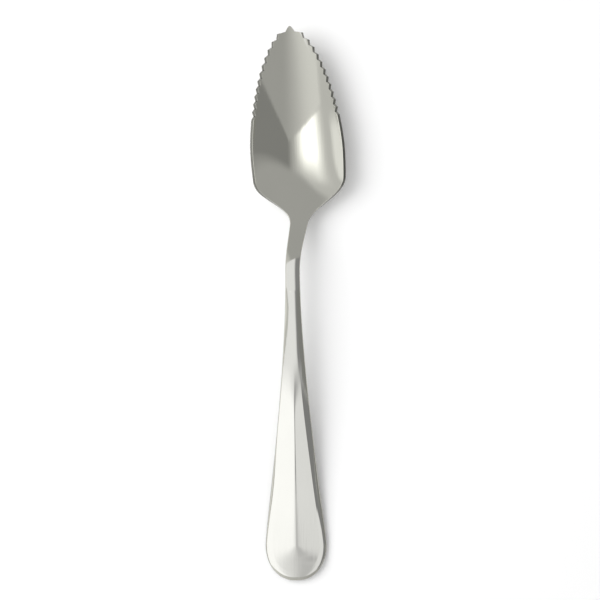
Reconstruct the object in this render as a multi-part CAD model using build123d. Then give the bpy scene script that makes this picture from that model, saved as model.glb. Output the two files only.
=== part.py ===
from build123d import *
import math
import os

# Grapefruit spoon, millimetres, +Z up. It lies on its back on the plane Z = 0, with its tip towards +Y
# and the bowl's widest place over X = 0. A station is a distance from the tip, measured back along Y.

# Plan of the bowl
LENGTH = 160.0
BOWL_WIDTH = 27.4
WIDEST_AT = 36.0
FRONT_TAPER = 1.66
FRONT_BLUNTNESS = 1.8
SIDE_DRAW_IN = 0.25
SHOULDER_AT = 43.4
SHOULDER_LENGTH = 14.7

# The bowl stands askew: turned about its tip by this angle in degrees, and a bend of the neck brings it back
BOWL_SKEW = 3.0
SKEW_FADE_AT = 46.0
SKEW_GONE_AT = 72.0

# Plan of the neck and handle
NECK_ROOT_WIDTH = 5.0
NECK_WIDTH = 4.3
NECK_AT = 70.0
HANDLE_WIDTH = 17.7
HANDLE_WIDEST_AT = 149.6
FLARE_START = 1.75
FLARE_FINISH = 1.2
END_TAPER = 2.1
END_BLUNTNESS = 2.2

# Side view: heights of the upper surface above the table
TIP_HEIGHT = 10.0
SIDE_RIM_HEIGHT = 7.5
SHOULDER_RIM_HEIGHT = 7.8
FLOOR_AT = 35.4
FLOOR_FRONT_POWER = 2.1
HEEL_BEND = 15.0
ARCH_HEIGHT = 10.4
ARCH_AT = 75.0
ARCH_BEND = 12.0
LANDING_AT = 153.0
LANDING_POWER = 1.6

# Metal thickness
BOWL_WALL = 1.2
RIM_WALL = 0.9
RIM_FACE_LEAN = 20.0
RIM_FACE_POWER = 6
NECK_THICKNESS = 3.6
HANDLE_THICKNESS = 2.8
END_THICKNESS = 2.5
SIDE_EDGE = 0.75

# Cross-section shape
BOWL_SECTION_POWER = 2.08
WALL_TAPER_POWER = 2
BEVEL_WIDTH = 1.9
BEVEL_SHARE_MOST = 0.6
BEVEL_FALL = 0.6
BEVEL_POWER = 1.0
BEVEL_FROM = 64.0
BEVEL_FULL_AT = 86.0
BEVEL_FADE_AT = 128.0
BEVEL_END_SHARE = 0.15
NECK_CROWN = 0.6
END_CROWN = 0.3
CROWN_FROM = 54.0
CROWN_FULL_AT = 70.0
FLUTE_DEPTH = 0.97
FLUTE_SPAN = 2.0
UNDERSIDE_POWER = 4
RIDGE_FROM = 96.0
RIDGE_FULL_AT = 124.0
RIDGE_FADE_AT = 150.0
RIDGE_GONE_AT = 157.0

# Teeth along the front rim, counted on each side of the tip
TOOTH_PITCH = 2.18
TOOTH_DEPTH = 0.68
TOOTH_LAND = 0.16
NOTCHES_PER_SIDE = 12

# Dividing plane between the bowl with its root and the handle
DIVISION_AT = 62.0

# Wedge that cuts a notch: how far it runs past the teeth, and its half height in walls
WEDGE_OVERSHOOT = 2.5
WEDGE_WALLS = 4

# Fineness of the loft
TIP_FLAT_AT = 0.12
END_FLAT = 0.04
FRONT_STATIONS = 9
BACK_STATIONS = 11
HANDLE_STATIONS = 13
END_STATIONS = 6
SECTION_SHARES = (0.0, 0.25, 0.5, 0.7, 0.82, 0.91, 1.0)
STEP = 0.01

FLOOR_HEIGHT = BOWL_WALL
SHOULDER_END = SHOULDER_AT + SHOULDER_LENGTH
HALF_LENGTH = LENGTH / 2


def ease(u):
    """Fifth-degree ease from 0 to 1, level at both ends."""
    u = min(max(u, 0.0), 1.0)
    return u**3 * (10 - 15 * u + 6 * u**2)


def shank_half_width(s):
    """Half width of the neck and handle, without the shoulders, at a station."""
    narrow = NECK_WIDTH / 2
    if s <= NECK_AT:
        root = (NECK_AT - s) / (NECK_AT - SHOULDER_END)
        return narrow + (NECK_ROOT_WIDTH / 2 - narrow) * min(root, 1.0) ** 2
    if s <= HANDLE_WIDEST_AT:
        v = (s - NECK_AT) / (HANDLE_WIDEST_AT - NECK_AT)
        return narrow + (HANDLE_WIDTH / 2 - narrow) * (1 - (1 - v**FLARE_START) ** FLARE_FINISH)
    u = (s - HANDLE_WIDEST_AT) / (LENGTH - HANDLE_WIDEST_AT)
    return HANDLE_WIDTH / 2 * (1 - u**END_TAPER) ** (1 / END_BLUNTNESS)


def half_width(s):
    """Half width of the whole spoon in plan at a station."""
    if s <= WIDEST_AT:
        u = 1 - s / WIDEST_AT
        return BOWL_WIDTH / 2 * (1 - u**FRONT_TAPER) ** (1 / FRONT_BLUNTNESS)
    side = BOWL_WIDTH / 2 - SIDE_DRAW_IN * ((s - WIDEST_AT) / (SHOULDER_AT - WIDEST_AT)) ** 2
    shank = shank_half_width(s)
    return side + (shank - side) * ease((s - SHOULDER_AT) / SHOULDER_LENGTH)


def climb(d):
    """Height gained at a distance d behind the floor: a straight climb with a round bend at each end."""
    run = ARCH_AT - FLOOR_AT
    slope = (ARCH_HEIGHT - FLOOR_HEIGHT) / (run - (HEEL_BEND + ARCH_BEND) / 2)
    heel = min(d, HEEL_BEND) ** 2 / (2 * HEEL_BEND)
    straight = max(d - HEEL_BEND, 0.0)
    arch = max(d - run + ARCH_BEND, 0.0) ** 2 / (2 * ARCH_BEND)
    return slope * (heel + straight - arch)


def centre_height(s):
    """Height of the upper surface on the axis at a station."""
    if s <= FLOOR_AT:
        return FLOOR_HEIGHT + (TIP_HEIGHT - FLOOR_HEIGHT) * (1 - s / FLOOR_AT) ** FLOOR_FRONT_POWER
    if s <= ARCH_AT:
        return FLOOR_HEIGHT + climb(s - FLOOR_AT)
    v = min((s - ARCH_AT) / (LANDING_AT - ARCH_AT), 1.0)
    landing = (1 - v) ** LANDING_POWER * (1 + LANDING_POWER * v)
    return END_THICKNESS + (ARCH_HEIGHT - END_THICKNESS) * landing


def rim_height(s):
    """Height of the bowl's rim at a station, rising from the tip to the shoulders."""
    front = 1 - min(s / WIDEST_AT, 1.0)
    side = TIP_HEIGHT + (SIDE_RIM_HEIGHT - TIP_HEIGHT) * (1 - front**2)
    return side + (SHOULDER_RIM_HEIGHT - SIDE_RIM_HEIGHT) * ease((s - FLOOR_AT) / (SHOULDER_END - FLOOR_AT))


def handle_share(s):
    """0 in the dished bowl, 1 in the solid neck and handle."""
    return ease((s - SHOULDER_AT) / SHOULDER_LENGTH)


def ridge_share(s):
    """How far the lengthwise ridge of the handle has risen at a station."""
    return ease((s - RIDGE_FROM) / (RIDGE_FULL_AT - RIDGE_FROM)) * (
        1 - ease((s - RIDGE_FADE_AT) / (RIDGE_GONE_AT - RIDGE_FADE_AT))
    )


def centre_thickness(s):
    """Thickness of the metal on the axis at a station."""
    bowl_to_neck = BOWL_WALL + (NECK_THICKNESS - BOWL_WALL) * handle_share(s)
    neck_to_handle = (HANDLE_THICKNESS - NECK_THICKNESS) * ease((s - NECK_AT) / (RIDGE_FULL_AT - NECK_AT))
    settle = ease((s - RIDGE_FULL_AT) / (LANDING_AT - RIDGE_FULL_AT))
    handle_to_end = (END_THICKNESS - HANDLE_THICKNESS) * settle
    return bowl_to_neck + neck_to_handle + handle_to_end


def edge_share(x, s):
    """0 on the axis, 1 on the outline; past the handle's broadest station it also grows towards the end."""
    if s <= HANDLE_WIDEST_AT:
        return x / half_width(s)
    u = (s - HANDLE_WIDEST_AT) / (LENGTH - HANDLE_WIDEST_AT)
    return (u**END_TAPER + (2 * x / HANDLE_WIDTH) ** END_BLUNTNESS) ** (1 / END_BLUNTNESS)


def upper_height(x, s):
    """Height of the upper surface at a distance x from the middle: a dish that turns into a fluted bar."""
    t = edge_share(x, s)
    dish = centre_height(s) + (rim_height(s) - centre_height(s)) * t**BOWL_SECTION_POWER
    bevel = bevel_width(s) / (HANDLE_WIDTH / 2 if s > HANDLE_WIDEST_AT else half_width(s))
    flute = t / (FLUTE_SPAN * (1 - bevel))
    ridge = ridge_share(s)
    crown = ease((s - CROWN_FROM) / (CROWN_FULL_AT - CROWN_FROM)) * (1 - ridge)
    settle = ease((s - RIDGE_FULL_AT) / (LANDING_AT - RIDGE_FULL_AT))
    crown_depth = NECK_CROWN + (END_CROWN - NECK_CROWN) * settle
    fall = crown_depth * t**2 * crown + FLUTE_DEPTH * flute * (2 - flute) * ridge
    bevel_fall = BEVEL_FALL * (max(t - 1 + bevel, 0.0) / bevel) ** BEVEL_POWER * bevel_share(s)
    bar = centre_height(s) - fall - bevel_fall
    return dish + (bar - dish) * handle_share(s)


def bevel_share(s):
    """How far the side bevels have risen: none at the neck's root, and little at the handle's end."""
    fade = ease((s - BEVEL_FADE_AT) / (LANDING_AT - BEVEL_FADE_AT))
    return ease((s - BEVEL_FROM) / (BEVEL_FULL_AT - BEVEL_FROM)) * (1 - (1 - BEVEL_END_SHARE) * fade)


def bevel_width(s):
    """Width of the rounded shoulder along each side, kept under the half width of a narrow section."""
    return min(BEVEL_WIDTH, BEVEL_SHARE_MOST * half_width(s))


def under_height(x, s):
    """Height of the underside of the neck and handle: level in the middle, meeting the side edges."""
    level = centre_height(s) - centre_thickness(s)
    outline = upper_height(half_width(s), s) - SIDE_EDGE
    return level + (outline - level) * edge_share(x, s) ** UNDERSIDE_POWER


def slope_across(x, s):
    """Rise of the upper surface per unit of width at a distance x from the axis."""
    near = max(x - STEP, 0.0)
    return (upper_height(x + STEP, s) - upper_height(near, s)) / (x + STEP - near) if x > 0 else 0.0


def wall_angle(x, s):
    """Angle from vertical of the line through the wall: square to it, and laid over at the rim's face."""
    lean = math.radians(RIM_FACE_LEAN) * edge_share(x, s) ** RIM_FACE_POWER
    return math.atan(slope_across(x, s)) + lean


def section_points(s):
    """Upper and lower points of the right half of a section, from the axis to the side."""
    w = half_width(s)
    share = handle_share(s)
    lean = (1 - share) * math.sin(wall_angle(w - STEP, s))
    squeeze = 1 - RIM_WALL * lean / w
    upper = []
    lower = []
    for x in [w * part for part in SECTION_SHARES]:
        z = upper_height(x, s)
        wall = BOWL_WALL + (RIM_WALL - BOWL_WALL) * edge_share(x, s) ** WALL_TAPER_POWER
        angle = wall_angle(x, s)
        dish_x = x * squeeze + wall * math.sin(angle)
        dish_z = z - wall * math.cos(angle)
        upper.append((x * squeeze, z))
        lower.append((dish_x + (x - dish_x) * share, dish_z + (under_height(x, s) - dish_z) * share))
    return upper, lower


def set_over(s):
    """Sideways place of the centre line, which is 0 at the bowl's widest place."""
    back = 1 - ease((s - SKEW_FADE_AT) / (SKEW_GONE_AT - SKEW_FADE_AT))
    return (s * back - WIDEST_AT) * math.tan(math.radians(BOWL_SKEW))


def at_station(points, s, side=1):
    """Section points of one side, 1 for the right and -1 for the left, as positions in space."""
    turn = math.radians(BOWL_SKEW) * (1 - handle_share(s))
    across = side * math.cos(turn)
    along = side * math.sin(turn)
    return [Vector(set_over(s) + across * x, HALF_LENGTH - s + along * x, z) for x, z in points]


def section_wire(s):
    """Closed outline of the section at a station: two upper halves, two sides and the underside."""
    upper, lower = section_points(s)
    right = at_station(upper, s)
    left = at_station(upper, s, -1)
    under_right = at_station(lower, s)
    under_left = at_station(lower, s, -1)
    turn = at_station([(1, 0)], s)[0] - at_station([(0, 0)], s)[0]
    ridge = Vector(0, 0, slope_across(STEP, s) * ridge_share(s))
    outwards = list(SECTION_SHARES)
    inwards = [-part for part in reversed(outwards)]
    across = inwards + outwards[1:]
    top_right = Edge.make_spline(
        right, tangents=[turn + ridge, right[-1] - right[-2]], parameters=outwards
    )
    top_left = Edge.make_spline(
        left[::-1], tangents=[left[-2] - left[-1], turn - ridge], parameters=inwards
    )
    side_right = Edge.make_line(right[-1], under_right[-1])
    underside = Edge.make_spline(under_right[::-1] + under_left[1:], parameters=across)
    side_left = Edge.make_line(under_left[-1], left[-1])
    return Wire([top_left, top_right, side_right, underside, side_left])


def stations():
    """Stations of the loft, close together where the outline turns fast."""
    front = [WIDEST_AT * (k / FRONT_STATIONS) ** 2 for k in range(1, FRONT_STATIONS)]
    back = [WIDEST_AT + (SHOULDER_END - WIDEST_AT) * k / BACK_STATIONS for k in range(BACK_STATIONS)]
    run = HANDLE_WIDEST_AT - SHOULDER_END
    handle = [SHOULDER_END + run * k / HANDLE_STATIONS for k in range(HANDLE_STATIONS)]
    cap = LENGTH - HANDLE_WIDEST_AT
    end = [LENGTH - END_FLAT - cap * (1 - k / END_STATIONS) ** 2 for k in range(1, END_STATIONS)]
    return [TIP_FLAT_AT] + front + back + handle + [HANDLE_WIDEST_AT] + end + [LENGTH - END_FLAT]


def rim_point(s, side):
    """Middle of the rim's edge on one side of the bowl."""
    if s <= 0:
        return Vector(set_over(0), HALF_LENGTH, TIP_HEIGHT - BOWL_WALL / 2)
    upper, lower = section_points(s)
    return (at_station(upper, s, side)[-1] + at_station(lower, s, side)[-1]) / 2


def notch(k, side):
    """Cutter for the V between tooth k and the next on one side, square to the wall of the bowl."""
    first = rim_point(k * TOOTH_PITCH, side)
    last = rim_point((k + 1) * TOOTH_PITCH, side)
    along = (last - first).normalized()
    s = (k + 0.5) * TOOTH_PITCH
    upper, lower = section_points(s)
    through = at_station(upper, s, side)[-1] - at_station(lower, s, side)[-1]
    inward = through.cross(along).normalized()
    if inward.X * side > 0:
        inward = inward * -1
    normal = along.cross(inward).normalized()
    root = (first + last) / 2 + inward * TOOTH_DEPTH
    land = along * (TOOTH_LAND / 2)
    start = root + (first + land - root) * WEDGE_OVERSHOOT
    finish = root + (last - land - root) * WEDGE_OVERSHOOT
    face = Face(Wire.make_polygon([root, start, finish], close=True))
    return extrude(face, amount=WEDGE_WALLS * BOWL_WALL, dir=normal, both=True)


def build():
    """Loft the spoon, divide it across the root of the neck and cut the teeth of the bowl."""
    spoon = Part() + Solid.make_loft([section_wire(s) for s in stations()])
    division = Plane(origin=(0, HALF_LENGTH - DIVISION_AT, 0), z_dir=(0, 1, 0))
    bowl = split(spoon, bisect_by=division, keep=Keep.TOP)
    handle = split(spoon, bisect_by=division, keep=Keep.BOTTOM)
    notches = [notch(k, side) for side in (1, -1) for k in range(NOTCHES_PER_SIDE)]
    return {"bowl": bowl - notches, "handle": handle}


os.makedirs("parts", exist_ok=True)
for name, solid in build().items():
    solid.label = name
    export_step(solid, f"parts/{name}.step")
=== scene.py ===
"""Dressed model of a grapefruit spoon: one polished surface in two pieces, on a pale floor."""

import logging
from dataclasses import dataclass, field
from enum import Enum

import bpy
import numpy as np
from mathutils import Matrix, Vector

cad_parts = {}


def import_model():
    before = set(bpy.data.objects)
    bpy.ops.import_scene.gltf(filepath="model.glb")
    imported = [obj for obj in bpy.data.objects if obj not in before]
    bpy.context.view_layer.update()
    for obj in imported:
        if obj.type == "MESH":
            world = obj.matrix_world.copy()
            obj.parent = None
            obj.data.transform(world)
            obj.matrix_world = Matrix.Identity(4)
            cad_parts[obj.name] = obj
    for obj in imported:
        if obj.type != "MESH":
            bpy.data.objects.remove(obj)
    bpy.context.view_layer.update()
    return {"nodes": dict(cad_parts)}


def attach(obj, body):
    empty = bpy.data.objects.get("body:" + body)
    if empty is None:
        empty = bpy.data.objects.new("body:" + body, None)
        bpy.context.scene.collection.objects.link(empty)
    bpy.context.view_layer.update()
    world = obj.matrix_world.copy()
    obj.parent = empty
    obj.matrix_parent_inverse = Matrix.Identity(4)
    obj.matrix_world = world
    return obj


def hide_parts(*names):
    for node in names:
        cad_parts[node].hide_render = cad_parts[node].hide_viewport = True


MM = 0.001
LOG = logging.getLogger("grapefruit_spoon")
NEUTRAL = (1.0, 1.0, 1.0)
WHITE_GREY = 255.0

Array = np.ndarray
Tint = tuple[float, float, float]


class Steel(Enum):
    """Material slots of the record for the bowl and the handle; each finish keeps one, but no slot is given
    a material.
    """

    BOWL = "bowl_steel"
    HANDLE = "handle_steel"


def ease(u: Array) -> Array:
    """Fifth-degree ease from 0 to 1, level at both ends.

    Args:
        u: Positions, where 0 and 1 are the ends.

    Returns:
        The eased values, held at 0 and 1 outside the ends.
    """
    u = np.clip(u, 0.0, 1.0)
    return u**3 * (10 - 15 * u + 6 * u**2)


@dataclass(frozen=True)
class SpoonForm:
    """Sizes of the spoon in millimetres and the heights and widths that follow from them.

    A station is a distance from the tip, measured back along the axis. The spoon lies on its back, with
    its tip towards +Y.
    """

    length: float = 160.0
    bowl_width: float = 27.4
    widest_at: float = 36.0
    front_taper: float = 1.66
    front_bluntness: float = 1.8
    side_draw_in: float = 0.25
    shoulder_at: float = 43.4
    shoulder_length: float = 14.7
    bowl_skew: float = np.radians(3.0)
    skew_fade_at: float = 46.0
    skew_gone_at: float = 72.0
    neck_root_width: float = 5.0
    neck_width: float = 4.3
    neck_at: float = 70.0
    handle_width: float = 17.7
    handle_widest_at: float = 149.6
    flare_start: float = 1.75
    flare_finish: float = 1.2
    end_taper: float = 2.1
    end_bluntness: float = 2.2
    tip_height: float = 10.0
    side_rim_height: float = 7.5
    shoulder_rim_height: float = 7.8
    floor_at: float = 35.4
    floor_front_power: float = 2.1
    heel_bend: float = 15.0
    arch_height: float = 10.4
    arch_at: float = 75.0
    arch_bend: float = 12.0
    landing_at: float = 153.0
    landing_power: float = 1.6
    bowl_wall: float = 1.2
    rim_wall: float = 0.9
    rim_face_lean: float = np.radians(20.0)
    rim_face_power: float = 6.0
    neck_thickness: float = 3.6
    handle_thickness: float = 2.8
    end_thickness: float = 2.5
    side_edge: float = 0.75
    bowl_section_power: float = 2.08
    wall_taper_power: float = 2.0
    bevel_width: float = 1.9
    bevel_share_most: float = 0.6
    bevel_fall: float = 0.6
    bevel_power: float = 1.0
    bevel_from: float = 64.0
    bevel_full_at: float = 86.0
    bevel_fade_at: float = 128.0
    bevel_end_share: float = 0.15
    neck_crown: float = 0.6
    end_crown: float = 0.3
    crown_from: float = 54.0
    crown_full_at: float = 70.0
    flute_depth: float = 0.97
    flute_span: float = 2.0
    ridge_round: float = 0.05
    underside_power: float = 4.0
    ridge_from: float = 96.0
    ridge_full_at: float = 124.0
    ridge_fade_at: float = 150.0
    ridge_gone_at: float = 157.0
    division_at: float = 62.0
    tip_flat_at: float = 0.13
    end_flat: float = 0.05
    step: float = 0.01

    @property
    def shoulder_end(self) -> float:
        """Station where the shoulders have run into the neck."""
        return self.shoulder_at + self.shoulder_length

    def end_share(self, s: Array) -> Array:
        """0 at the handle's broadest station, 1 at its end."""
        return np.clip((s - self.handle_widest_at) / (self.length - self.handle_widest_at), 0.0, 1.0)

    def handle_share(self, s: Array) -> Array:
        """0 in the dished bowl, 1 in the solid neck and handle."""
        return ease((s - self.shoulder_at) / self.shoulder_length)

    def shank_half_width(self, s: Array) -> Array:
        """Half width of the neck and handle without the shoulders.

        A power curve narrows the root to the neck, a flare widens it to the handle, and a superellipse
        rounds the end.

        Args:
            s: Stations.

        Returns:
            Half widths in millimetres.
        """
        narrow = self.neck_width / 2
        broad = self.handle_width / 2
        root = np.clip((self.neck_at - s) / (self.neck_at - self.shoulder_end), 0.0, 1.0)
        neck = narrow + (self.neck_root_width / 2 - narrow) * root**2
        v = np.clip((s - self.neck_at) / (self.handle_widest_at - self.neck_at), 0.0, 1.0)
        flare = narrow + (broad - narrow) * (1 - (1 - v**self.flare_start) ** self.flare_finish)
        cap = broad * (1 - self.end_share(s) ** self.end_taper) ** (1 / self.end_bluntness)
        return np.where(s <= self.neck_at, neck, np.where(s <= self.handle_widest_at, flare, cap))

    def half_width(self, s: Array) -> Array:
        """Half width of the whole spoon in plan.

        A superellipse gives the blunt pointed front, a parabola draws the sides in a little, and an ease
        carries them over the shoulders into the neck.

        Args:
            s: Stations.

        Returns:
            Half widths in millimetres.
        """
        u = np.clip(1 - s / self.widest_at, 0.0, 1.0)
        front = self.bowl_width / 2 * (1 - u**self.front_taper) ** (1 / self.front_bluntness)
        draw = ((s - self.widest_at) / (self.shoulder_at - self.widest_at)) ** 2
        side = self.bowl_width / 2 - self.side_draw_in * draw
        back = side + (self.shank_half_width(s) - side) * self.handle_share(s)
        return np.where(s <= self.widest_at, front, back)

    def climb(self, d: Array) -> Array:
        """Height gained at a distance d behind the bowl's floor.

        A straight climb, with a parabolic bend at each end.

        Args:
            d: Distances behind the floor's lowest station.

        Returns:
            Heights in millimetres.
        """
        run = self.arch_at - self.floor_at
        slope = (self.arch_height - self.bowl_wall) / (run - (self.heel_bend + self.arch_bend) / 2)
        heel = np.clip(d, 0.0, self.heel_bend) ** 2 / (2 * self.heel_bend)
        straight = np.maximum(d - self.heel_bend, 0.0)
        arch = np.maximum(d - run + self.arch_bend, 0.0) ** 2 / (2 * self.arch_bend)
        return slope * (heel + straight - arch)

    def centre_height(self, s: Array) -> Array:
        """Height of the upper surface on the axis.

        It falls from the tip as a power, climbs the heel, and goes over the arch down to the landing.

        Args:
            s: Stations.

        Returns:
            Heights above the table in millimetres.
        """
        drop = np.clip(1 - s / self.floor_at, 0.0, 1.0) ** self.floor_front_power
        front = self.bowl_wall + (self.tip_height - self.bowl_wall) * drop
        heel = self.bowl_wall + self.climb(s - self.floor_at)
        v = np.clip((s - self.arch_at) / (self.landing_at - self.arch_at), 0.0, 1.0)
        landing = (1 - v) ** self.landing_power * (1 + self.landing_power * v)
        handle = self.end_thickness + (self.arch_height - self.end_thickness) * landing
        return np.where(s <= self.floor_at, front, np.where(s <= self.arch_at, heel, handle))

    def rim_height(self, s: Array) -> Array:
        """Height of the bowl's rim, which runs nearly level and sinks into the shoulders.

        Args:
            s: Stations.

        Returns:
            Heights above the table in millimetres.
        """
        front = 1 - np.clip(s / self.widest_at, 0.0, 1.0)
        side = self.tip_height + (self.side_rim_height - self.tip_height) * (1 - front**2)
        fall = ease((s - self.floor_at) / (self.shoulder_end - self.floor_at))
        return side + (self.shoulder_rim_height - self.side_rim_height) * fall

    def ridge_share(self, s: Array) -> Array:
        """How far the lengthwise ridge of the handle has risen."""
        rise = ease((s - self.ridge_from) / (self.ridge_full_at - self.ridge_from))
        return rise * (1 - ease((s - self.ridge_fade_at) / (self.ridge_gone_at - self.ridge_fade_at)))

    def centre_thickness(self, s: Array) -> Array:
        """Thickness of the metal on the axis, thin in the bowl and thickest at the neck.

        Args:
            s: Stations.

        Returns:
            Thicknesses in millimetres.
        """
        neck = (self.neck_thickness - self.bowl_wall) * self.handle_share(s)
        handle = ease((s - self.neck_at) / (self.ridge_full_at - self.neck_at))
        end = ease((s - self.ridge_full_at) / (self.landing_at - self.ridge_full_at))
        thinned = (self.handle_thickness - self.neck_thickness) * handle
        return self.bowl_wall + neck + thinned + (self.end_thickness - self.handle_thickness) * end

    def bevel_share(self, s: Array) -> Array:
        """How far the bevels along the sides have risen, which is little at the handle's end.

        Args:
            s: Stations.

        Returns:
            Shares from 0 to 1.
        """
        fade = ease((s - self.bevel_fade_at) / (self.landing_at - self.bevel_fade_at))
        rise = ease((s - self.bevel_from) / (self.bevel_full_at - self.bevel_from))
        return rise * (1 - (1 - self.bevel_end_share) * fade)

    def edge_share(self, x: Array, s: Array) -> Array:
        """0 on the axis and 1 on the outline, also round the handle's end.

        Args:
            x: Distances from the axis, none negative.
            s: Stations.

        Returns:
            Shares from 0 to 1.
        """
        side = x / np.maximum(self.half_width(s), self.step)
        across = 2 * x / self.handle_width
        cap = (self.end_share(s) ** self.end_taper + across**self.end_bluntness) ** (1 / self.end_bluntness)
        return np.where(s <= self.handle_widest_at, side, cap)

    def upper_height(self, x: Array, s: Array) -> Array:
        """Height of the upper surface at a distance x from the axis.

        In the bowl the height rises from the axis to the rim as a power of the share of the half width.
        In the neck it falls as a crown. In the handle a parabolic flute lies on each side of a rounded
        ridge, and a bevel falls to the outline. The bowl and the neck are mixed over the shoulders.

        Args:
            x: Distances from the axis, none negative.
            s: Stations.

        Returns:
            Heights above the table in millimetres.
        """
        t = self.edge_share(x, s)
        centre = self.centre_height(s)
        dish = centre + (self.rim_height(s) - centre) * t**self.bowl_section_power
        side = np.maximum(self.half_width(s), self.step)
        width = np.where(s > self.handle_widest_at, self.handle_width / 2, side)
        bevel = np.minimum(self.bevel_width / width, self.bevel_share_most)
        ridge = self.ridge_share(s)
        crown = ease((s - self.crown_from) / (self.crown_full_at - self.crown_from)) * (1 - ridge)
        flute = (np.sqrt(t**2 + self.ridge_round**2) - self.ridge_round) / (self.flute_span * (1 - bevel))
        settle = ease((s - self.ridge_full_at) / (self.landing_at - self.ridge_full_at))
        crown_depth = self.neck_crown + (self.end_crown - self.neck_crown) * settle
        fall = crown_depth * t**2 * crown + self.flute_depth * flute * (2 - flute) * ridge
        over_bevel = np.maximum(t - 1 + bevel, 0.0) / bevel
        bevel_fall = self.bevel_fall * over_bevel**self.bevel_power * self.bevel_share(s)
        return dish + (centre - fall - bevel_fall - dish) * self.handle_share(s)

    def slope_across(self, x: Array, s: Array) -> Array:
        """Rise of the upper surface per unit of width.

        Args:
            x: Distances from the axis, none negative.
            s: Stations.

        Returns:
            Slopes, 0 on the axis.
        """
        near = np.maximum(x - self.step, 0.0)
        rise = self.upper_height(x + self.step, s) - self.upper_height(near, s)
        return np.where(x > 0, rise / (x + self.step - near), 0.0)

    def under_height(self, x: Array, s: Array) -> Array:
        """Height of the underside of the neck and handle, which rises as a power to meet the side edges.

        Args:
            x: Distances from the axis, none negative.
            s: Stations.

        Returns:
            Heights above the table in millimetres.
        """
        level = self.centre_height(s) - self.centre_thickness(s)
        outline = self.upper_height(self.half_width(s), s) - self.side_edge
        return level + (outline - level) * self.edge_share(x, s) ** self.underside_power

    def set_over(self, s: Array) -> Array:
        """Sideways place of the centre line: on the skew's slope in the bowl, and even past the neck."""
        back = 1 - ease((s - self.skew_fade_at) / (self.skew_gone_at - self.skew_fade_at))
        return (s * back - self.widest_at) * np.tan(self.bowl_skew)

    def askew(self, x: Array, s: Array) -> Array:
        """Places in plan of points across the centre line, with the bowl's rows turned by its skew.

        Args:
            x: Distances from the centre line, positive to the right.
            s: Stations.

        Returns:
            Array of (x, y) in millimetres.
        """
        turn = self.bowl_skew * (1 - self.handle_share(s))
        across = self.set_over(s) + x * np.cos(turn)
        along = self.length / 2 - s + x * np.sin(turn)
        return np.stack([across, along], axis=-1)

    def wall_angle(self, x: Array, s: Array) -> Array:
        """Angle from vertical of the line through the wall: square to it, and more at the rim's face."""
        lean = self.rim_face_lean * self.edge_share(x, s) ** self.rim_face_power
        return np.arctan(self.slope_across(x, s)) + lean

    def top_and_under(self, x: Array, s: Array) -> tuple[Array, Array]:
        """Matching points of the upper surface and the underside.

        The bowl's underside lies one wall below its upper surface, square to it, and the rim is drawn in
        so that its outer edge stays on the outline. The handle's underside lies straight below.

        Args:
            x: Distances from the axis, none negative.
            s: Stations.

        Returns:
            Two arrays of points (x, y, z) in millimetres, with the tip towards +Y.
        """
        share = self.handle_share(s)
        width = np.maximum(self.half_width(s), self.step)
        lean = (1 - share) * np.sin(self.wall_angle(width - self.step, s))
        drawn = x * np.maximum(1 - self.rim_wall * lean / width, 0.0)
        z = self.upper_height(x, s)
        taper = self.edge_share(x, s) ** self.wall_taper_power
        wall = self.bowl_wall + (self.rim_wall - self.bowl_wall) * taper
        angle = self.wall_angle(x, s)
        dish_x = drawn + wall * np.sin(angle)
        dish_z = z - wall * np.cos(angle)
        y = self.length / 2 - s
        top = np.stack([drawn, y, z], axis=-1)
        under_x = dish_x + (x - dish_x) * share
        under = np.stack([under_x, y, dish_z + (self.under_height(x, s) - dish_z) * share], axis=-1)
        return top, under


@dataclass(frozen=True)
class ToothedRim:
    """Saw teeth along the front rim, counted on each side of the tip, in millimetres."""

    pitch: float = 2.18
    depth: float = 0.68
    land: float = 0.16
    notches: int = 12
    flank_rows: int = 5
    tip_flank_power: float = 1.2

    @property
    def end_at(self) -> float:
        """Station of the last tooth."""
        return self.pitch * self.notches

    def path(self, form: SpoonForm) -> tuple[Array, Array, Array]:
        """Rim in plan through the teeth of the right side.

        Each notch is a straight run from one tooth's point in to the root, which lies one depth inwards
        of the middle of the two points, and a straight run out to the next point. The tip tooth is blunt:
        on its flank the station grows as the square of the share of the way, and the distance from the
        axis as a lower power.

        Args:
            form: The spoon's sizes.

        Returns:
            Distances from the axis, stations, and the stations that the rows have on a rim without teeth.
        """
        k = np.arange(self.notches)[:, None]
        first = np.stack([form.half_width(k * self.pitch), k * self.pitch], axis=-1)
        last = np.stack([form.half_width((k + 1) * self.pitch), (k + 1) * self.pitch], axis=-1)
        along = last - first
        length = np.linalg.norm(along, axis=-1, keepdims=True)
        along = along / length
        inward = np.stack([-along[..., 1], along[..., 0]], axis=-1)
        middle = (first + last) / 2
        flat = np.cos(np.arctan(form.slope_across(middle[..., 0], middle[..., 1])))[..., None]
        root = middle + inward * self.depth * flat
        start = first + along * self.land / 2
        finish = last - along * self.land / 2
        share = np.linspace(0.0, 1.0, self.flank_rows + 1)[None, :, None]
        inwards = start + (root - start) * share
        outwards = root + (finish - root) * share[:, 1:]
        rows = np.concatenate([inwards, outwards], axis=1)
        even = (k + np.linspace(0.0, 1.0, rows.shape[1])[None, :]) * self.pitch
        flank = share[0, :, 0]
        rows[0, : len(flank)] = root[0] * np.stack([flank**self.tip_flank_power, flank**2], axis=-1)
        return rows[..., 0].ravel(), rows[..., 1].ravel(), even.ravel()


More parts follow.
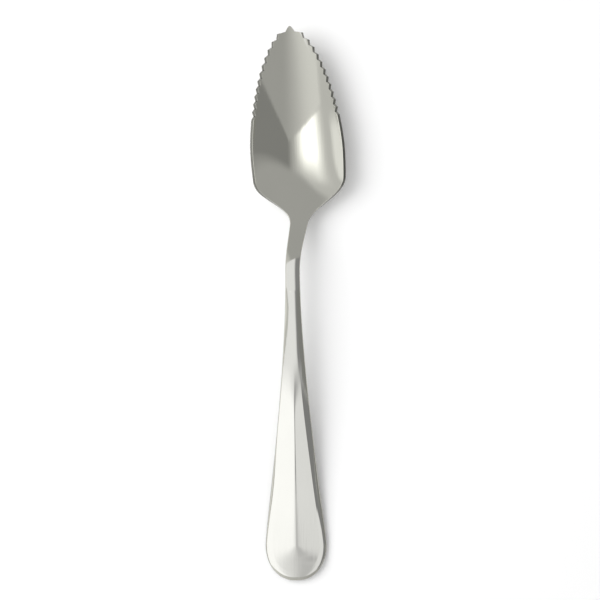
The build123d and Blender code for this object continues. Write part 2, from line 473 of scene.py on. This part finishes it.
@dataclass(frozen=True)
class PolishedSteel:
    """Mirror-polished stainless steel with faint haze and hairlines, and edges painted darker: painted
    shade for their dark outlines.
    """

    name: str
    slot: Steel
    color: Tint = (0.53, 0.528, 0.478)
    haze_color: Tint = (0.505, 0.503, 0.455)
    # Darker colour of the edges: painted shade that draws their dark outlines.
    edge_shade_color: Tint = (0.2, 0.199, 0.18)
    roughness: float = 0.06
    haze: float = 0.03
    hairline_depth: float = 0.012
    lengthwise: float = 14.0

    def material(self) -> bpy.types.Material:
        """Material whose colour, roughness and fine bump come from the shared polish groups.

        The mesh's own UV is 1 along U on the edges, which take the darker edge colour there: painted shade
        for their dark outlines.

        Returns:
            The new material.
        """
        made = bpy.data.materials.new(self.name)
        made.use_nodes = True
        tree = made.node_tree
        shader = tree.nodes["Principled BSDF"]
        place = tree.nodes.new("ShaderNodeTexCoord")
        haze = tree.nodes.new("ShaderNodeGroup")
        haze.node_tree = polish_haze_group()
        haze.inputs["Clear"].default_value = (*self.color, 1.0)
        haze.inputs["Hazed"].default_value = (*self.haze_color, 1.0)
        haze.inputs["Roughness"].default_value = self.roughness
        haze.inputs["Haze"].default_value = self.haze
        hairlines = tree.nodes.new("ShaderNodeGroup")
        hairlines.node_tree = hairline_group()
        hairlines.inputs["Stretch"].default_value = self.lengthwise
        bump = tree.nodes.new("ShaderNodeBump")
        bump.inputs["Strength"].default_value = self.hairline_depth
        bump.inputs["Distance"].default_value = MM
        shader.inputs["Metallic"].default_value = 1.0
        tree.links.new(place.outputs["Object"], haze.inputs["Place"])
        tree.links.new(place.outputs["Object"], hairlines.inputs["Place"])
        # Painted shade: the edges, marked in the UV, take the darker edge colour.
        split = tree.nodes.new("ShaderNodeSeparateXYZ")
        edge = tree.nodes.new("ShaderNodeMix")
        edge.data_type = "RGBA"
        edge.inputs["B"].default_value = (*self.edge_shade_color, 1.0)
        tree.links.new(place.outputs["UV"], split.inputs["Vector"])
        tree.links.new(split.outputs["X"], edge.inputs["Factor"])
        tree.links.new(haze.outputs["Color"], edge.inputs["A"])
        tree.links.new(edge.outputs["Result"], shader.inputs["Base Color"])
        tree.links.new(haze.outputs["Roughness"], shader.inputs["Roughness"])
        tree.links.new(hairlines.outputs["Height"], bump.inputs["Height"])
        tree.links.new(bump.outputs["Normal"], shader.inputs["Normal"])
        return made


def new_group(name: str, inputs: dict[str, str], outputs: dict[str, str]) -> bpy.types.NodeTree:
    """Empty shader node group with named sockets.

    Args:
        name: Name of the group.
        inputs: Socket type of each input.
        outputs: Socket type of each output.

    Returns:
        The group, with its input and output nodes in place.
    """
    group = bpy.data.node_groups.new(name, "ShaderNodeTree")
    for way, sockets in (("INPUT", inputs), ("OUTPUT", outputs)):
        for label, kind in sockets.items():
            group.interface.new_socket(label, in_out=way, socket_type=kind)
    group.nodes.new("NodeGroupInput")
    group.nodes.new("NodeGroupOutput")
    return group


def polish_haze_group(
    patches_per_metre: float = 45.0,
    detail: float = 3.0,
    clear_below: float = 0.35,
    hazed_above: float = 0.75,
) -> bpy.types.NodeTree:
    """Group that mixes clear and hazed steel by soft cloudy patches, built once.

    Args:
        patches_per_metre: Scale of the cloud noise.
        detail: Octaves of the noise.
        clear_below: Noise value up to which the steel is clear.
        hazed_above: Noise value from which it is fully hazed.

    Returns:
        The group, with a colour and a roughness that change over the surface.
    """
    name = "polish_haze"
    if name in bpy.data.node_groups:
        return bpy.data.node_groups[name]
    group = new_group(
        name,
        {"Place": "NodeSocketVector", "Clear": "NodeSocketColor", "Hazed": "NodeSocketColor",
         "Roughness": "NodeSocketFloat", "Haze": "NodeSocketFloat"},
        {"Color": "NodeSocketColor", "Roughness": "NodeSocketFloat"},
    )
    source = group.nodes["Group Input"].outputs
    target = group.nodes["Group Output"].inputs
    cloud = group.nodes.new("ShaderNodeTexNoise")
    cloud.inputs["Scale"].default_value = patches_per_metre
    cloud.inputs["Detail"].default_value = detail
    patch = group.nodes.new("ShaderNodeMapRange")
    patch.inputs["From Min"].default_value = clear_below
    patch.inputs["From Max"].default_value = hazed_above
    tint = group.nodes.new("ShaderNodeMix")
    tint.data_type = "RGBA"
    spread = group.nodes.new("ShaderNodeMath")
    spread.operation = "MULTIPLY_ADD"
    group.links.new(source["Place"], cloud.inputs["Vector"])
    group.links.new(cloud.outputs["Fac"], patch.inputs["Value"])
    group.links.new(patch.outputs["Result"], tint.inputs["Factor"])
    group.links.new(source["Clear"], tint.inputs["A"])
    group.links.new(source["Hazed"], tint.inputs["B"])
    group.links.new(patch.outputs["Result"], spread.inputs[0])
    group.links.new(source["Haze"], spread.inputs[1])
    group.links.new(source["Roughness"], spread.inputs[2])
    group.links.new(tint.outputs["Result"], target["Color"])
    group.links.new(spread.outputs["Value"], target["Roughness"])
    return group


def hairline_group(lines_per_metre: float = 120.0, detail: float = 4.0) -> bpy.types.NodeTree:
    """Group of hairlines left by polishing along the spoon, built once.

    Args:
        lines_per_metre: Scale of the noise along the spoon, before it is squashed across.
        detail: Octaves of the noise.

    Returns:
        The group, with a height that changes over the surface.
    """
    name = "polish_hairlines"
    if name in bpy.data.node_groups:
        return bpy.data.node_groups[name]
    group = new_group(
        name,
        {"Place": "NodeSocketVector", "Stretch": "NodeSocketFloat"},
        {"Height": "NodeSocketFloat"},
    )
    source = group.nodes["Group Input"].outputs
    target = group.nodes["Group Output"].inputs
    squash = group.nodes.new("ShaderNodeCombineXYZ")
    squash.inputs["Y"].default_value = 1.0
    scaled = group.nodes.new("ShaderNodeVectorMath")
    scaled.operation = "MULTIPLY"
    lines = group.nodes.new("ShaderNodeTexNoise")
    lines.inputs["Scale"].default_value = lines_per_metre
    lines.inputs["Detail"].default_value = detail
    group.links.new(source["Stretch"], squash.inputs["X"])
    group.links.new(source["Stretch"], squash.inputs["Z"])
    group.links.new(source["Place"], scaled.inputs[0])
    group.links.new(squash.outputs["Vector"], scaled.inputs[1])
    group.links.new(scaled.outputs["Vector"], lines.inputs["Vector"])
    group.links.new(lines.outputs["Fac"], target["Height"])
    return group


@dataclass(frozen=True)
class SurfacePiece:
    """One closed piece of the spoon's surface: its rows of the grid and its finish."""

    name: str
    node: str
    finish: PolishedSteel
    first_row: int
    last_row: int


@dataclass
class Spoon:
    """The spoon's surface as one grid of rows round the outline, divided into the bowl and the handle.

    A row is a ray from the axis to the outline: along the upper surface, round the edge and back along
    the underside. Its mirror image goes the other way. The rays fan out at the tip and at the handle's
    end, so that no cell is pinched there.
    """

    form: SpoonForm = field(default_factory=SpoonForm)
    teeth: ToothedRim = field(default_factory=ToothedRim)
    tip_fan: float = 7.0
    tip_fan_end: float = 26.16
    end_fan: float = 9.0
    end_fan_start: float = 138.0
    columns: int = 36
    crowding: float = 0.6
    plain_step: float = 0.5
    handle_step: float = 0.8
    cap_rows: int = 60
    rim_round: float = 0.1
    side_round: float = 0.28
    under_round: float = 0.1
    roll_width: float = 1.5
    roll_fall: float = 0.55
    roll_from: float = 112.0
    roll_full_at: float = 142.0
    arc_points: int = 7
    # Points of the upper corner over which the edges' painted shade rises to full.
    shade_rise_points: int = 2
    flat_shares: tuple[float, float] = (0.08, 0.92)
    smooth_below: float = np.radians(27.0)

    def outline(self) -> tuple[Array, Array, Array]:
        """Outline in plan of the right side, from the tip past the teeth and shoulders to the handle's end.

        Returns:
            Distances from the axis, stations, and even stations for placing the rays' roots.
        """
        form = self.form
        x, s, even = self.teeth.path(form)
        plain_rows = int(round((form.division_at - self.teeth.end_at) / self.plain_step))
        plain = np.linspace(self.teeth.end_at, form.division_at, plain_rows + 1)[1:]
        handle_rows = int(round((form.handle_widest_at - form.division_at) / self.handle_step))
        handle = np.linspace(form.division_at, form.handle_widest_at, handle_rows + 1)[1:]
        turn = np.linspace(0.0, np.pi / 2, self.cap_rows + 1)[1:]
        cap = form.handle_widest_at + (form.length - form.handle_widest_at) * np.sin(turn)
        rest = np.concatenate([plain, handle, cap])
        stations = np.concatenate([s, rest])
        return (
            np.concatenate([x, form.half_width(rest)]),
            np.clip(stations, form.tip_flat_at, form.length - form.end_flat),
            np.concatenate([even, rest]),
        )

    def ray_roots(self, even: Array) -> Array:
        """Stations on the axis where the rays start, pushed away from the tip and from the handle's end.

        Args:
            even: Stations of the rows on a rim without teeth.

        Returns:
            Stations of the rays' roots.
        """
        front = np.clip(1 - even / self.tip_fan_end, 0.0, 1.0) ** 2
        start = self.end_fan_start
        back = np.clip((even - start) / (self.form.length - start), 0.0, 1.0) ** 2
        return even + self.tip_fan * front - self.end_fan * back

    def half_grid(self) -> Array:
        """Points of all rows of the right half.

        A row has the upper surface from the axis outwards, a quarter round at each of the edge's two
        corners, and the underside back to the axis. Towards the handle's end the upper corner rolls over
        in a wider quarter ellipse.

        Returns:
            Array of rows by columns by (x, y, z) in millimetres.
        """
        rim_x, rim_s, even = self.outline()
        root = self.ray_roots(even)
        reach = np.hypot(rim_x, rim_s - root)
        share = self.form.handle_share(rim_s)
        radius = self.rim_round + (self.side_round - self.rim_round) * share
        rolled = ease((rim_s - self.roll_from) / (self.roll_full_at - self.roll_from))
        width = radius + (self.roll_width - self.side_round) * rolled
        depth = radius + (self.roll_fall - self.side_round) * rolled
        even_steps = np.linspace(0.0, 1.0, self.columns + 1)
        steps = even_steps - self.crowding * np.sin(2 * np.pi * even_steps) / (2 * np.pi)
        top = self.surfaces(rim_x, rim_s, root, steps[None, :] * (1 - width / reach)[:, None])[0]
        level, under = self.surfaces(rim_x, rim_s, root, steps[None, :] * (1 - radius / reach)[:, None])
        rim_top = self.form.top_and_under(rim_x, rim_s)[0]
        over = unit(rim_top - top[:, -1])[:, None]
        out = unit(rim_top - level[:, -1])[:, None]
        through = unit(under[:, -1] - level[:, -1])[:, None]
        turn = np.linspace(0.0, np.pi / 2, self.arc_points + 1)[1:]
        sine = np.sin(turn)[None, :, None]
        fall = (1 - np.cos(turn))[None, :, None]
        upper_arc = top[:, -1:] + over * sine * width[:, None, None] + through * fall * depth[:, None, None]
        lower_arc = under[:, -1:] + out * sine * radius[:, None, None] - through * fall * self.under_round
        across = np.array(self.flat_shares)[None, :, None]
        flat = upper_arc[:, -1:] + (lower_arc[:, -1:] - upper_arc[:, -1:]) * across
        return np.concatenate([top, upper_arc, flat, lower_arc[:, ::-1], under[:, ::-1]], axis=1)

    def surfaces(self, rim_x: Array, rim_s: Array, root: Array, t: Array) -> tuple[Array, Array]:
        """Upper and under surface at the shares t of the way from the axis to the rim, row by row."""
        return self.form.top_and_under(rim_x[:, None] * t, root[:, None] + (rim_s - root)[:, None] * t)

    def full_grid(self) -> tuple[Array, Array]:
        """Points of the whole surface and the index of each grid place.

        The left half mirrors the right one. It shares the axis, and at the tip and the end also the whole
        row, so the surface is closed there.

        Returns:
            Points in millimetres, and an index array of rows by places round the section.
        """
        right = self.half_grid()
        rows, count = right.shape[:2]
        left = right[:, 1:-1] * np.array([-1.0, 1.0, 1.0])
        points = np.concatenate([right.reshape(-1, 3), left.reshape(-1, 3)])
        right_index = np.arange(rows * count).reshape(rows, count)
        left_index = rows * count + np.arange(rows * (count - 2)).reshape(rows, count - 2)
        left_index[0] = right_index[0, 1:-1]
        left_index[-1] = right_index[-1, 1:-1]
        points[right_index[[0, -1]], 0] = 0.0
        points[:, :2] = self.form.askew(points[:, 0], self.form.length / 2 - points[:, 1])
        return points, np.concatenate([right_index, left_index[:, ::-1]], axis=1)

    def edge_marks(self) -> Array:
        """How far each place round the section takes the edges' darker colour, which is painted shade.

        It is 1 on the edge's face and lower corner, and rises to that over the last points of the upper
        corner.

        Returns:
            One value for each place round the section.
        """
        first = self.columns
        last = first + 2 * self.arc_points + len(self.flat_shares)
        half = np.arange(last + first + 2)
        mark = np.clip(1 + (half - first - self.arc_points) / self.shade_rise_points, 0.0, 1.0) * (half <= last)
        return np.concatenate([mark, mark[-2:0:-1]])

    def division_row(self) -> int:
        """Row that lies on the plane between the bowl and the handle."""
        return int(np.argmin(np.abs(self.outline()[1] - self.form.division_at)))

    def pieces(self) -> tuple[SurfacePiece, SurfacePiece]:
        """The bowl with the neck's root and the handle, as rows of the grid.

        Returns:
            The two pieces.
        """
        row = self.division_row()
        last = len(self.outline()[0]) - 1
        bowl_finish = PolishedSteel("polished_bowl", Steel.BOWL)
        handle_finish = PolishedSteel("polished_handle", Steel.HANDLE)
        return (
            SurfacePiece("spoon_bowl", "bowl", bowl_finish, 0, row),
            SurfacePiece("spoon_handle", "handle", handle_finish, row, last),
        )

    def faces(self, index: Array, closed_at: int) -> Array:
        """Quads between neighbouring rows, and a cap across the row at the dividing plane.

        Args:
            index: Index array of the piece's rows.
            closed_at: Which of its rows, 0 or -1, gets the cap.

        Returns:
            Array of quads.
        """
        after = np.roll(index, -1, axis=1)
        quads = np.stack([index[:-1], after[:-1], after[1:], index[1:]], axis=-1).reshape(-1, 4)
        ring = index[closed_at]
        half = len(ring) // 2
        near = np.concatenate([ring[: half + 1], ring[half:], ring[:1]])
        right = near[: half + 1]
        left = near[half + 1 :]
        caps = []
        for side in (right, left):
            pairs = len(side) // 2
            a, b = side[: pairs - 1], side[1:pairs]
            c, d = side[::-1][1:pairs], side[::-1][: pairs - 1]
            caps.append(np.stack([a, d, c, b], axis=-1))
        cap = np.concatenate(caps)
        return np.concatenate([quads, cap if closed_at == 0 else cap[:, ::-1]])

    def build(self, piece: SurfacePiece) -> bpy.types.Object:
        """Mesh object of one piece, dressed and tied to the frame.

        Args:
            piece: Which rows it has, the node that it stands for and its finish.

        Returns:
            The new object.
        """
        points, index = self.full_grid()
        rows = index[piece.first_row : piece.last_row + 1]
        quads = self.faces(rows, -1 if piece.first_row == 0 else 0)
        used, local = np.unique(quads, return_inverse=True)
        corners = points[used] * MM
        quads = local.reshape(quads.shape)
        if signed_volume(corners, quads) < 0:
            quads = quads[:, ::-1]
        mesh = bpy.data.meshes.new(piece.name)
        mesh.from_pydata(corners.tolist(), [], quads.tolist())
        # Painted shade of the edges, passed to the material as U of a UV layer.
        edge_shading = np.zeros(len(points))
        edge_shading[index] = self.edge_marks()
        marks = np.zeros((len(quads), 4, 2))
        marks[..., 0] = edge_shading[used][quads]
        mesh.uv_layers.new(name="ground_edge").data.foreach_set("uv", marks.ravel())
        mesh.shade_smooth()
        mesh.set_sharp_from_angle(angle=self.smooth_below)
        mesh.materials.append(piece.finish.material())
        made = bpy.data.objects.new(piece.name, mesh)
        bpy.context.scene.collection.objects.link(made)
        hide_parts(piece.node)
        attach(made, "root")
        LOG.info("%s: %d points, %d faces", piece.name, len(corners), len(quads))
        return made


def unit(vectors: Array) -> Array:
    """Vectors scaled to length 1."""
    return vectors / np.linalg.norm(vectors, axis=-1, keepdims=True)


def signed_volume(points: Array, quads: Array) -> float:
    """Volume enclosed by quads, negative where they face inwards.

    Args:
        points: Corner points.
        quads: Four corner numbers of each face.

    Returns:
        Sum over the faces of the volumes between the origin and each half face.
    """
    a, b, c, d = (points[quads[:, k]] for k in range(4))
    halves = np.einsum("ij,ij->i", a, np.cross(b, c)) + np.einsum("ij,ij->i", a, np.cross(c, d))
    return float(halves.sum() / 6)


@dataclass(frozen=True)
class Edge:
    """Soft straight edge of a zone: an axis in plan, and where along it the zone begins and is full."""

    axis: tuple[float, float]
    begin: float
    full: float


@dataclass(frozen=True)
class Panel:
    """One soft-edged zone of one grey: the product of its edges.

    In the studio its edges are shares of the direction that light comes from, and on a card millimetres.
    """

    name: str
    grey: float
    edges: tuple[Edge, ...]


@dataclass(frozen=True)
class Card:
    """Level card that shows in reflections alone: one grey with soft-edged bars, in millimetres."""

    name: str
    left: float
    right: float
    near: float
    far: float
    height: float
    grey: float
    bars: tuple[Panel, ...]
    tint: Tint = (1.0, 1.0, 1.05)


@dataclass
class Studio:
    """Pale floor, soft light from all round with a light box on the left, and a camera straight above."""

    steel: float = 0.52
    overhead_grey: float = 158.0
    display_gamma: float = 2.2
    panels: tuple[Panel, ...] = (
        Panel("right_side", 121.0, (Edge((1.0, 0.0), 0.16, 0.4),)),
        Panel("left_wall", 178.0, (Edge((1.0, 0.0), 0.3, -0.5),)),
        Panel("left_horizon", 215.0, (Edge((1.0, 0.0), -0.95, -0.985), Edge((0.0, 1.0), -0.22, -0.1),
                                      Edge((0.0, 1.0), 0.32, 0.16))),
        Panel("box", 290.0, (Edge((1.0, 0.0), 0.2, -0.38), Edge((1.0, 0.0), -0.93, -0.6),
                             Edge((0.0, 1.0), 0.46, 0.02))),
        Panel("far_wall", 152.0, (Edge((0.24, 1.0), 0.31, 0.43),)),
        Panel("near_wall", 149.0, (Edge((0.38, 1.0), 0.15, 0.11), Edge((-0.22, 1.0), -0.03, -0.07),
                                   Edge((1.0, 0.0), -0.93, -0.86))),
        Panel("near_fill", 200.0, (Edge((0.38, 1.0), 0.15, 0.11), Edge((-0.22, 1.0), -0.03, -0.07),
                                   Edge((1.0, 0.0), -0.93, -0.86), Edge((1.0, 0.0), 0.6, -0.9))),
    )
    # The cards glow and show only in reflections; their bars paint the light and dark stripes that the neck
    # and handle reflect: painted reflections.
    cards: tuple[Card, ...] = (
        Card("neck_card", -48.0, 48.0, 4.0, 21.0, 25.0, 218.0, (
            Panel("dark_right", 126.0, (Edge((1.0, 0.0), 1.0, 7.0),)),
        )),
        Card("handle_card", -95.0, 64.0, -110.0, 4.0, 50.0, 220.0, (
            Panel("dark_right", 126.0, (Edge((1.0, 0.0), 4.0, 15.0),)),
            Panel("pale_near", 214.0, (Edge((0.0, 1.0), -22.0, -44.0),)),
            Panel("ridge_flag", 120.0, (Edge((0.0, 1.0), -22.0, -44.0), Edge((0.0, 1.0), -80.0, -64.0),
                                        Edge((1.0, 0.0), -7.0, 4.0), Edge((1.0, 0.0), 14.0, 4.0))),
            Panel("end_flag", 180.0, (Edge((0.0, 1.0), -64.0, -80.0), Edge((1.0, 0.0), -6.0, 2.0),
                                      Edge((1.0, 0.0), 14.0, 6.0))),
            Panel("left_light", 250.0, (Edge((0.0, 1.0), -22.0, -44.0), Edge((1.0, 0.0), -5.0, -18.0))),
            Panel("right_flag", 120.0, (Edge((0.0, 1.0), -22.0, -44.0), Edge((1.0, 0.0), 31.0, 38.0))),
        )),
    )
    floor_size: float = 600.0
    floor_color: Tint = (0.86, 0.86, 0.86)
    key_place: tuple[float, float, float] = (-350.0, 120.0, 350.0)
    key_side: float = 420.0
    key_power: float = 1.6
    floor_glow: float = 0.05
    camera_height: float = 700.0
    picture_width: float = 174.3
    picture_centre: tuple[float, float] = (0.133, 1.3)
    roll: float = np.radians(-0.72)
    sensor: float = 36.0

    def radiance(self, grey: float, tint: Tint = NEUTRAL) -> tuple[float, float, float, float]:
        """Colour of light that leaves a given grey, of 255 for white, on the polished steel."""
        level = (grey / WHITE_GREY) ** self.display_gamma / self.steel
        return (*(level * share for share in tint), 1.0)

    def edge_mask(
        self, tree: bpy.types.NodeTree, place: bpy.types.NodeSocket, edges: tuple[Edge, ...]
    ) -> bpy.types.NodeSocket:
        """Product of smooth steps along the edges' axes.

        Args:
            tree: Node tree to add to.
            place: Socket that gives the direction or the place.
            edges: The zone's edges.

        Returns:
            The socket that holds the mask.
        """
        mask = None
        for edge in edges:
            along = tree.nodes.new("ShaderNodeVectorMath")
            along.operation = "DOT_PRODUCT"
            along.inputs[1].default_value = (*edge.axis, 0.0)
            step = tree.nodes.new("ShaderNodeMapRange")
            step.interpolation_type = "SMOOTHSTEP"
            step.inputs["From Min"].default_value = min(edge.begin, edge.full)
            step.inputs["From Max"].default_value = max(edge.begin, edge.full)
            step.inputs["To Min"].default_value = float(edge.begin > edge.full)
            step.inputs["To Max"].default_value = float(edge.begin < edge.full)
            tree.links.new(place, along.inputs[0])
            tree.links.new(along.outputs["Value"], step.inputs["Value"])
            if mask is None:
                mask = step.outputs["Result"]
                continue
            product = tree.nodes.new("ShaderNodeMath")
            product.operation = "MULTIPLY"
            tree.links.new(mask, product.inputs[0])
            tree.links.new(step.outputs["Result"], product.inputs[1])
            mask = product.outputs["Value"]
        return mask

    def shade(
        self,
        tree: bpy.types.NodeTree,
        place: bpy.types.NodeSocket,
        grey: float,
        panels: tuple[Panel, ...],
        tint: Tint = NEUTRAL,
    ) -> bpy.types.NodeSocket:
        """One grey, with each panel's grey mixed over it in turn.

        Args:
            tree: Node tree to add to.
            place: Socket that gives the direction or the place.
            grey: The grey outside the panels.
            panels: The soft-edged zones, each of one grey.
            tint: Colour that multiplies all greys.

        Returns:
            The socket that holds the colour.
        """
        start = tree.nodes.new("ShaderNodeRGB")
        start.outputs["Color"].default_value = self.radiance(grey, tint)
        color = start.outputs["Color"]
        for panel in panels:
            mix = tree.nodes.new("ShaderNodeMix")
            mix.data_type = "RGBA"
            mix.label = panel.name
            mix.inputs["B"].default_value = self.radiance(panel.grey, tint)
            tree.links.new(self.edge_mask(tree, place, panel.edges), mix.inputs["Factor"])
            tree.links.new(color, mix.inputs["A"])
            color = mix.outputs["Result"]
        return color

    def light(self) -> None:
        """World that lights the spoon by direction, and is white where the camera sees it."""
        world = bpy.data.worlds.new("studio")
        bpy.context.scene.world = world
        world.use_nodes = True
        tree = world.node_tree
        tree.nodes.clear()
        place = tree.nodes.new("ShaderNodeTexCoord")
        shade = self.shade(tree, place.outputs["Generated"], self.overhead_grey, self.panels)
        glow = tree.nodes.new("ShaderNodeBackground")
        tree.links.new(shade, glow.inputs["Color"])
        white = tree.nodes.new("ShaderNodeBackground")
        white.inputs["Color"].default_value = (*NEUTRAL, 1.0)
        ray = tree.nodes.new("ShaderNodeLightPath")
        choose = tree.nodes.new("ShaderNodeMixShader")
        out = tree.nodes.new("ShaderNodeOutputWorld")
        tree.links.new(ray.outputs["Is Camera Ray"], choose.inputs["Fac"])
        tree.links.new(glow.outputs["Background"], choose.inputs[1])
        tree.links.new(white.outputs["Background"], choose.inputs[2])
        tree.links.new(choose.outputs["Shader"], out.inputs["Surface"])

    def key(self) -> bpy.types.Object:
        """Large square lamp on the left that throws the shadow. The light box stands for it in reflections.

        Returns:
            The lamp's object, turned to the origin.
        """
        data = bpy.data.lights.new("key", "AREA")
        data.size = self.key_side * MM
        data.energy = self.key_power
        made = bpy.data.objects.new("key", data)
        made.location = Vector(self.key_place) * MM
        made.rotation_euler = made.location.to_track_quat("Z", "Y").to_euler()
        made.visible_glossy = False
        bpy.context.scene.collection.objects.link(made)
        return made

    def hang(self, card: Card) -> bpy.types.Object:
        """Card over the spoon: a flat grid of one cell between its four sides.

        Args:
            card: The card to hang.

        Returns:
            The card's object.
        """
        x, y = np.meshgrid([card.left, card.right], [card.near, card.far])
        points = np.stack([x.ravel(), y.ravel(), np.full(x.size, card.height)], axis=-1) * MM
        mesh = bpy.data.meshes.new(card.name)
        mesh.from_pydata(points.tolist(), [], [(0, 2, 3, 1)])
        mesh.materials.append(self.card_material(card))
        made = bpy.data.objects.new(card.name, mesh)
        made.visible_camera = False
        made.visible_diffuse = False
        made.visible_shadow = False
        bpy.context.scene.collection.objects.link(made)
        return made

    def card_material(self, card: Card) -> bpy.types.Material:
        """Glow of a card: its grey, with its bars mixed over it by the place on it in millimetres.

        Args:
            card: The card to dress.

        Returns:
            The new material.
        """
        made = bpy.data.materials.new(card.name)
        made.use_nodes = True
        tree = made.node_tree
        tree.nodes.clear()
        place = tree.nodes.new("ShaderNodeTexCoord")
        scaled = tree.nodes.new("ShaderNodeVectorMath")
        scaled.operation = "SCALE"
        scaled.inputs["Scale"].default_value = 1 / MM
        glow = tree.nodes.new("ShaderNodeEmission")
        out = tree.nodes.new("ShaderNodeOutputMaterial")
        tree.links.new(place.outputs["Object"], scaled.inputs[0])
        color = self.shade(tree, scaled.outputs["Vector"], card.grey, card.bars, card.tint)
        tree.links.new(color, glow.inputs["Color"])
        tree.links.new(glow.outputs["Emission"], out.inputs["Surface"])
        return made

    def floor(self) -> bpy.types.Object:
        """Level pale floor under the spoon: a flat grid of one cell at height 0, square about the origin.

        Returns:
            The floor's object.
        """
        side = np.array([-0.5, 0.5]) * self.floor_size * MM
        x, y = np.meshgrid(side, side)
        points = np.stack([x.ravel(), y.ravel(), np.zeros(x.size)], axis=-1)
        mesh = bpy.data.meshes.new("floor")
        mesh.from_pydata(points.tolist(), [], [(0, 1, 3, 2)])
        mesh.materials.append(self.floor_material())
        made = bpy.data.objects.new("floor", mesh)
        bpy.context.scene.collection.objects.link(made)
        return made

    def floor_material(self) -> bpy.types.Material:
        """Matt pale floor that glows a little for the camera and in reflections, and takes the shadow.

        Returns:
            The new material.
        """
        made = bpy.data.materials.new("pale_floor")
        made.use_nodes = True
        tree = made.node_tree
        tree.nodes.clear()
        matt = tree.nodes.new("ShaderNodeBsdfDiffuse")
        matt.inputs["Color"].default_value = (*self.floor_color, 1.0)
        glow = tree.nodes.new("ShaderNodeEmission")
        ray = tree.nodes.new("ShaderNodeLightPath")
        seen = tree.nodes.new("ShaderNodeMath")
        seen.operation = "MAXIMUM"
        strength = tree.nodes.new("ShaderNodeMath")
        strength.operation = "MULTIPLY"
        strength.inputs[1].default_value = self.floor_glow
        both = tree.nodes.new("ShaderNodeAddShader")
        out = tree.nodes.new("ShaderNodeOutputMaterial")
        tree.links.new(ray.outputs["Is Camera Ray"], seen.inputs[0])
        tree.links.new(ray.outputs["Is Glossy Ray"], seen.inputs[1])
        tree.links.new(seen.outputs["Value"], strength.inputs[0])
        tree.links.new(strength.outputs["Value"], glow.inputs["Strength"])
        tree.links.new(matt.outputs["BSDF"], both.inputs[0])
        tree.links.new(glow.outputs["Emission"], both.inputs[1])
        tree.links.new(both.outputs["Shader"], out.inputs["Surface"])
        return made

    def camera(self) -> bpy.types.Object:
        """Camera straight above, turned by the small roll that the picture has.

        Returns:
            The camera's object.
        """
        data = bpy.data.cameras.new("overhead")
        data.sensor_width = self.sensor
        data.lens = self.sensor * self.camera_height / self.picture_width
        made = bpy.data.objects.new("overhead", data)
        x, y = self.picture_centre
        place = Matrix.Translation(Vector((x, y, self.camera_height)) * MM)
        made.matrix_world = place @ Matrix.Rotation(self.roll, 4, "Z")
        bpy.context.scene.collection.objects.link(made)
        bpy.context.scene.camera = made
        return made


def main() -> None:
    logging.basicConfig(level=logging.INFO)
    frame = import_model()
    LOG.info("frame: %s", ", ".join(frame["nodes"]))
    bpy.context.scene.view_settings.view_transform = "Standard"
    spoon = Spoon()
    for piece in spoon.pieces():
        spoon.build(piece)
    studio = Studio()
    studio.floor()
    studio.light()
    studio.key()
    for card in studio.cards:
        studio.hang(card)
    studio.camera()


if __name__ == "__main__":
    main()
